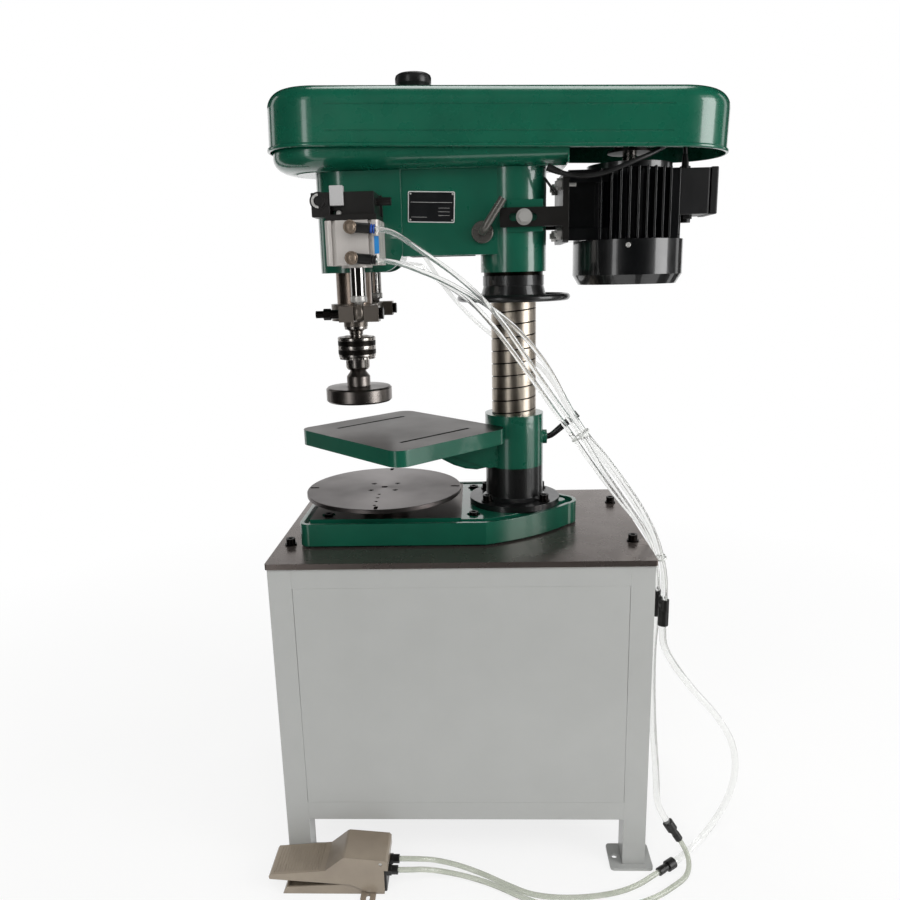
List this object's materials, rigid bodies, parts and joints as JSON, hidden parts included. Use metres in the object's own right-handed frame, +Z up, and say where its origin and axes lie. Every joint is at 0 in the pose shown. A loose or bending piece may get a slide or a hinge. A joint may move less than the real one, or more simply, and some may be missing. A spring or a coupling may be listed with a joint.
{
  "type": "paper tube curling machine",
  "caption": "Bench drill converted to curl paper tube ends: air cylinders press a rotating die down onto a tube held on a table, fed by a foot valve through clear hoses, on a steel bench.",
  "frame": {"origin": "on the floor, at the centre of the four floor bolt holes, below the centre of the bench top", "axes": "+X to the right along the bench, from the spindle to the motor; +Y to the back; +Z up"},
  "size_m": [0.8452, 0.5353, 1.3863],
  "materials": {
    "bench_enamel": "light grey semi-gloss enamel",
    "bench_plate": "oiled mild steel plate",
    "machine_green": "emerald green machine enamel, gloss",
    "machine_black": "black machine enamel, semi-gloss",
    "screw_steel": "blackened and worn high-tensile steel",
    "ground_steel": "ground steel, lightly oiled",
    "disc_steel": "turned steel",
    "bearing_steel": "polished bearing steel",
    "washer_bronze": "plain bearing bronze",
    "cylinder_alloy": "clear anodised extrusion, satin",
    "pulley_alloy": "cast and turned aluminium",
    "fitting_black": "black glass-filled nylon",
    "hose_clear": "clear polyurethane tube",
    "belt_rubber": "wrapped rubber belt",
    "knob_phenolic": "moulded phenolic",
    "fan_nylon": "moulded nylon",
    "pedal_paint": "tan grey hammered enamel",
    "lead_sheath": "black rubber sheath"
  },
  "bodies": {
    "bench": {"bench_legs": "bench_enamel", "foot_plates": "bench_enamel", "bench_rails": "bench_enamel", "bench_panels": "bench_enamel", "bench_top": "bench_plate", "cap_screws": "screw_steel", "base_casting": "machine_green", "column_flange": "machine_black", "column": "ground_steel", "locating_disc": "disc_steel", "disc_spacer": "disc_steel", "pedal_base": "pedal_paint", "pedal_pin": "ground_steel", "pedal_valve": "cylinder_alloy", "supply_hoses": "hose_clear", "pedal_hoses": "hose_clear", "hose_unions": "fitting_black"},
    "bracket": {"table_bracket": "machine_green", "table_bolt": "screw_steel"},
    "table": {"work_table": "machine_green"},
    "table_handle": {"table_clamp_handle": "machine_green"},
    "carriage": {"thrust_washer": "washer_bronze"},
    "lift_nut": {"lift_nut": "machine_black"},
    "head": {"head_casting": "machine_green", "belt_pan": "machine_green", "cover_stud": "ground_steel", "pulley_bearing": "bearing_steel", "v_belt": "belt_rubber", "slide_bolts": "screw_steel", "air_cylinders": "cylinder_alloy", "cylinder_brackets": "machine_black", "port_fittings": "fitting_black", "cylinder_hoses": "hose_clear", "motor_lead": "lead_sheath"},
    "head_lever": {"head_clamp_lever": "ground_steel"},
    "cover": {"belt_cover": "machine_green"},
    "knob": {"cover_knob": "knob_phenolic"},
    "spindle_pulley": {"spindle_pulley": "pulley_alloy"},
    "motor": {"motor_mount": "machine_black", "motor_bolts": "screw_steel", "motor_frame": "machine_black", "end_shields": "machine_black", "fan_cowl": "machine_black", "terminal_box": "machine_black", "terminal_lid": "machine_black"},
    "rotor": {"motor_pulley": "pulley_alloy", "motor_rotor": "ground_steel", "motor_fan": "fan_nylon"},
    "quill": {"quill": "ground_steel", "quill_collar": "ground_steel", "cross_bolts": "screw_steel", "piston_rods": "ground_steel", "rod_ends": "ground_steel", "spindle_bearings": "bearing_steel"},
    "spindle": {"spindle": "ground_steel", "chuck_body": "ground_steel", "chuck_sleeve": "ground_steel", "chuck_jaws": "ground_steel", "curling_die": "ground_steel"},
    "treadle": {"pedal_treadle": "pedal_paint"}
  },
  "joints": [
    {"name": "table_swing", "type": "hinge", "parent": "bench", "child": "bracket", "pos_m": [0.101, 0, 0.75], "axis": [0, 0, 1], "range_deg": [-100, 20]},
    {"name": "table_turn", "type": "hinge", "parent": "bracket", "child": "table", "pos_m": [-0.10098, -0.05601, 0.757], "axis": [0, 0, 1], "range_deg": [-58, 1]},
    {"name": "table_clamp_turn", "type": "hinge", "parent": "bracket", "child": "table_handle", "pos_m": [0.15, 0, 0.753], "axis": [1, 0, 0], "range_deg": [-60, 60]},
    {"name": "head_lift", "type": "slide", "parent": "bench", "child": "carriage", "axis": [0, 0, 1], "range_m": [-0.03, 0.07], "deforming": ["cylinder_hoses"]},
    {"name": "lift_nut_turn", "type": "hinge", "parent": "carriage", "child": "lift_nut", "pos_m": [0.101, 0, 1.02], "axis": [0, 0, 1], "range_deg": [-481, 1121]},
    {"name": "head_swivel", "type": "hinge", "parent": "carriage", "child": "head", "pos_m": [0.101, 0, 1.1], "axis": [0, 0, 1], "range_deg": [-15, 15], "deforming": ["cylinder_hoses"]},
    {"name": "head_clamp_turn", "type": "hinge", "parent": "head", "child": "head_lever", "pos_m": [0.0467, -0.05, 1.1186], "axis": [0, -1, 0], "range_deg": [-20, 60]},
    {"name": "cover_lift", "type": "slide", "parent": "head", "child": "cover", "axis": [0, 0, 1], "range_m": [0, 0.12]},
    {"name": "cover_knob_turn", "type": "hinge", "parent": "cover", "child": "knob", "pos_m": [-0.066, 0, 1.37], "axis": [0, 0, 1], "range_deg": [0, 360]},
    {"name": "motor_slide", "type": "slide", "parent": "head", "child": "motor", "axis": [1, 0, 0], "range_m": [-0.015, 0], "deforming": ["motor_lead", "v_belt"]},
    {"name": "motor_spin", "type": "hinge", "parent": "motor", "child": "rotor", "pos_m": [0.3, 0, 1.15], "axis": [0, 0, 1], "continuous": true},
    {"name": "spindle_pulley_spin", "type": "hinge", "parent": "head", "child": "spindle_pulley", "pos_m": [-0.184, 0, 1.25], "axis": [0, 0, 1], "continuous": true},
    {"name": "quill_feed", "type": "slide", "parent": "head", "child": "quill", "axis": [0, 0, -1], "range_m": [0, 0.032]},
    {"name": "spindle_spin", "type": "hinge", "parent": "quill", "child": "spindle", "pos_m": [-0.184, 0, 0.95], "axis": [0, 0, 1], "continuous": true},
    {"name": "treadle_press", "type": "hinge", "parent": "bench", "child": "treadle", "pos_m": [-0.146, -0.2433, 0.063], "axis": [0, -1, 0], "range_deg": [0, 4.5], "stiffness_Nm_per_rad": 6, "springref_deg": -8.59}
  ],
  "couplings": [
    {"joint": "lift_nut_turn", "follows": "head_lift", "rad_per_m": 279.25},
    {"joint": "spindle_pulley_spin", "follows": "motor_spin", "ratio": 0.78892},
    {"joint": "spindle_spin", "follows": "motor_spin", "ratio": 0.78892}
  ]
}
